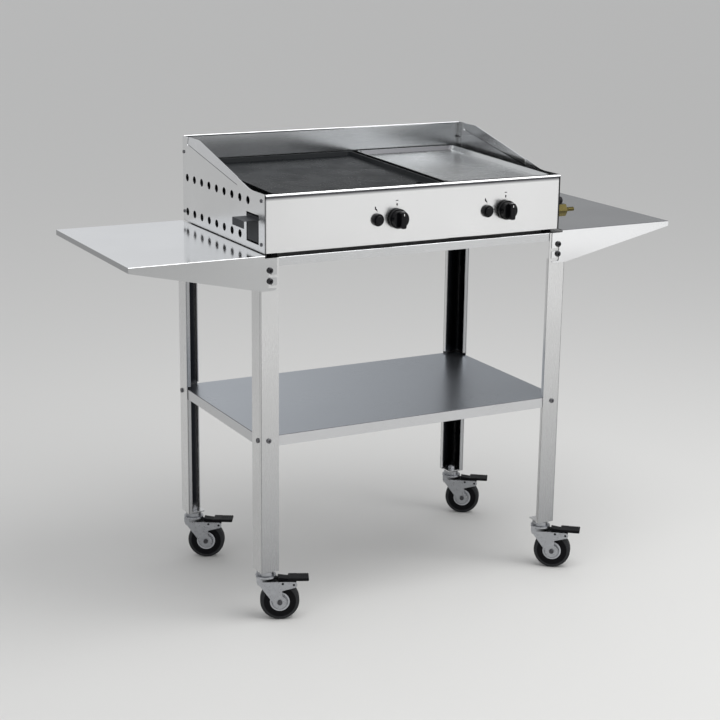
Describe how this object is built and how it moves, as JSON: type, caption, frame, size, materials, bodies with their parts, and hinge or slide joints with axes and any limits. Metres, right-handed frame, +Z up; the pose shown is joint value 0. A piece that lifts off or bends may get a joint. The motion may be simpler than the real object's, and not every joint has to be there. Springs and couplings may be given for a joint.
{
  "type": "gas griddle on trolley",
  "caption": "Stainless gas griddle with a dark and a bright cooking plate, front knobs and igniters, on a wheeled trolley with side shelves and a lower shelf.",
  "frame": {"origin": "on the floor, under the middle of the box round the whole object", "axes": "+X to the right as seen from the control panel's side, +Y to the back, +Z up"},
  "size_m": [1.236, 0.4758, 0.936],
  "materials": {
    "leg_steel": "satin stainless sheet",
    "panel_steel": "satin stainless sheet",
    "shelf_steel": "bright polished stainless sheet",
    "lower_shelf_steel": "satin stainless sheet",
    "bright_plate": "ground stainless cooking plate",
    "dark_plate": "dark enamelled steel cooking plate",
    "tray_metal": "dark grey coated sheet",
    "inner_steel": "plain steel",
    "pipe_steel": "drawn tube",
    "zinc": "bright zinc plated",
    "axle_steel": "dark zinc plated",
    "brass": "machined",
    "knob_plastic": "gloss black moulding",
    "black_plastic": "matt black moulding",
    "hub_plastic": "light grey moulding",
    "tyre": "black rubber tread",
    "rubber": "black rubber pad",
    "ceramic": "white glazed"
  },
  "bodies": {
    "stand": {"leg_front_left": "leg_steel", "leg_front_right": "leg_steel", "leg_rear_left": "leg_steel", "leg_rear_right": "leg_steel", "front_rail": "leg_steel", "rear_rail": "leg_steel", "left_rail": "leg_steel", "right_rail": "leg_steel", "lower_shelf": "lower_shelf_steel", "frame_screws": "zinc", "hook_bolts": "zinc", "caster_bolts": "zinc", "left_panel": "panel_steel", "right_panel": "panel_steel", "front_panel": "panel_steel", "back_panel": "panel_steel", "floor_pan": "inner_steel", "body_feet": "rubber", "panel_screws": "zinc", "plate_supports": "inner_steel", "left_burner": "inner_steel", "right_burner": "inner_steel", "spark_electrodes": "ceramic", "gas_valves": "brass", "gas_pipes": "pipe_steel", "igniter_bodies": "black_plastic", "gas_inlet": "brass", "inlet_plug": "black_plastic", "tray_guides": "inner_steel"},
    "caster_front_left": {"caster_fork_front_left": "zinc", "axle_front_left": "axle_steel"},
    "wheel_front_left": {"wheel_hub_front_left": "hub_plastic", "tyre_front_left": "tyre"},
    "brake_front_left": {"brake_pedal_front_left": "black_plastic"},
    "caster_front_right": {"caster_fork_front_right": "zinc", "axle_front_right": "axle_steel"},
    "wheel_front_right": {"wheel_hub_front_right": "hub_plastic", "tyre_front_right": "tyre"},
    "brake_front_right": {"brake_pedal_front_right": "black_plastic"},
    "caster_rear_left": {"caster_fork_rear_left": "zinc", "axle_rear_left": "axle_steel"},
    "wheel_rear_left": {"wheel_hub_rear_left": "hub_plastic", "tyre_rear_left": "tyre"},
    "brake_rear_left": {"brake_pedal_rear_left": "black_plastic"},
    "caster_rear_right": {"caster_fork_rear_right": "zinc", "axle_rear_right": "axle_steel"},
    "wheel_rear_right": {"wheel_hub_rear_right": "hub_plastic", "tyre_rear_right": "tyre"},
    "brake_rear_right": {"brake_pedal_rear_right": "black_plastic"},
    "left_stem": {"left_valve_stem": "brass"},
    "left_knob": {"left_knob": "knob_plastic"},
    "left_igniter_button": {"left_igniter_button": "knob_plastic"},
    "right_stem": {"right_valve_stem": "brass"},
    "right_knob": {"right_knob": "knob_plastic"},
    "right_igniter_button": {"right_igniter_button": "knob_plastic"},
    "left_side_shelf": {"left_shelf": "shelf_steel"},
    "left_plate": {"left_griddle_plate": "dark_plate"},
    "right_side_shelf": {"right_shelf": "shelf_steel"},
    "right_plate": {"right_griddle_plate": "bright_plate"},
    "grease_tray": {"grease_tray": "tray_metal"}
  },
  "joints": [
    {"name": "caster_swivel_front_left", "type": "hinge", "parent": "stand", "child": "caster_front_left", "pos_m": [-0.332, -0.17296, 0.106], "axis": [0, 0, 1], "continuous": true},
    {"name": "wheel_spin_front_left", "type": "hinge", "parent": "caster_front_left", "child": "wheel_front_left", "pos_m": [-0.30642, -0.18434, 0.04], "axis": [0.4067, 0.9135, 0], "continuous": true},
    {"name": "brake_press_front_left", "type": "hinge", "parent": "caster_front_left", "child": "brake_front_left", "pos_m": [-0.30094, -0.18679, 0.08], "axis": [0.4067, 0.9135, 0], "range_deg": [0, 10]},
    {"name": "caster_swivel_front_right", "type": "hinge", "parent": "stand", "child": "caster_front_right", "pos_m": [0.332, -0.17296, 0.106], "axis": [0, 0, 1], "continuous": true},
    {"name": "wheel_spin_front_right", "type": "hinge", "parent": "caster_front_right", "child": "wheel_front_right", "pos_m": [0.35406, -0.19019, 0.04], "axis": [0.6157, 0.788, 0], "continuous": true},
    {"name": "brake_press_front_right", "type": "hinge", "parent": "caster_front_right", "child": "brake_front_right", "pos_m": [0.35879, -0.19389, 0.08], "axis": [0.6157, 0.788, 0], "range_deg": [0, 10]},
    {"name": "caster_swivel_rear_left", "type": "hinge", "parent": "stand", "child": "caster_rear_left", "pos_m": [-0.332, 0.21204, 0.106], "axis": [0, 0, 1], "continuous": true},
    {"name": "wheel_spin_rear_left", "type": "hinge", "parent": "caster_rear_left", "child": "wheel_rear_left", "pos_m": [-0.30751, 0.19847, 0.04], "axis": [0.4848, 0.8746, 0], "continuous": true},
    {"name": "brake_press_rear_left", "type": "hinge", "parent": "caster_rear_left", "child": "brake_rear_left", "pos_m": [-0.30226, 0.19556, 0.08], "axis": [0.4848, 0.8746, 0], "range_deg": [0, 10]},
    {"name": "caster_swivel_rear_right", "type": "hinge", "parent": "stand", "child": "caster_rear_right", "pos_m": [0.332, 0.21204, 0.106], "axis": [0, 0, 1], "continuous": true},
    {"name": "wheel_spin_rear_right", "type": "hinge", "parent": "caster_rear_right", "child": "wheel_rear_right", "pos_m": [0.35521, 0.19639, 0.04], "axis": [0.5592, 0.829, 0], "continuous": true},
    {"name": "brake_press_rear_right", "type": "hinge", "parent": "caster_rear_right", "child": "brake_rear_right", "pos_m": [0.36019, 0.19303, 0.08], "axis": [0.5592, 0.829, 0], "range_deg": [0, 10]},
    {"name": "left_knob_push", "type": "slide", "parent": "stand", "child": "left_stem", "axis": [0, 1, 0], "range_m": [0, 0.004], "stiffness_N_per_m": 600},
    {"name": "left_knob_turn", "type": "hinge", "parent": "left_stem", "child": "left_knob", "pos_m": [-0.05, -0.18946, 0.806], "axis": [0, -1, 0], "range_deg": [0, 180]},
    {"name": "left_igniter_push", "type": "slide", "parent": "stand", "child": "left_igniter_button", "axis": [0, 1, 0], "range_m": [0, 0.004], "stiffness_N_per_m": 800},
    {"name": "right_knob_push", "type": "slide", "parent": "stand", "child": "right_stem", "axis": [0, 1, 0], "range_m": [0, 0.004], "stiffness_N_per_m": 600},
    {"name": "right_knob_turn", "type": "hinge", "parent": "right_stem", "child": "right_knob", "pos_m": [0.2045, -0.18946, 0.806], "axis": [0, -1, 0], "range_deg": [0, 180]},
    {"name": "right_igniter_push", "type": "slide", "parent": "stand", "child": "right_igniter_button", "axis": [0, 1, 0], "range_m": [0, 0.004], "stiffness_N_per_m": 800},
    {"name": "left_shelf_lift", "type": "slide", "parent": "stand", "child": "left_side_shelf", "axis": [0, 0, 1], "range_m": [0, 0.012]},
    {"name": "left_plate_lift", "type": "slide", "parent": "stand", "child": "left_plate", "axis": [0, 0, 1], "range_m": [0, 0.06]},
    {"name": "right_shelf_lift", "type": "slide", "parent": "stand", "child": "right_side_shelf", "axis": [0, 0, 1], "range_m": [0, 0.012]},
    {"name": "right_plate_lift", "type": "slide", "parent": "stand", "child": "right_plate", "axis": [0, 0, 1], "range_m": [0, 0.06]},
    {"name": "grease_tray_slide", "type": "slide", "parent": "stand", "child": "grease_tray", "axis": [-1, 0, 0], "range_m": [0, 0.4]}
  ]
}
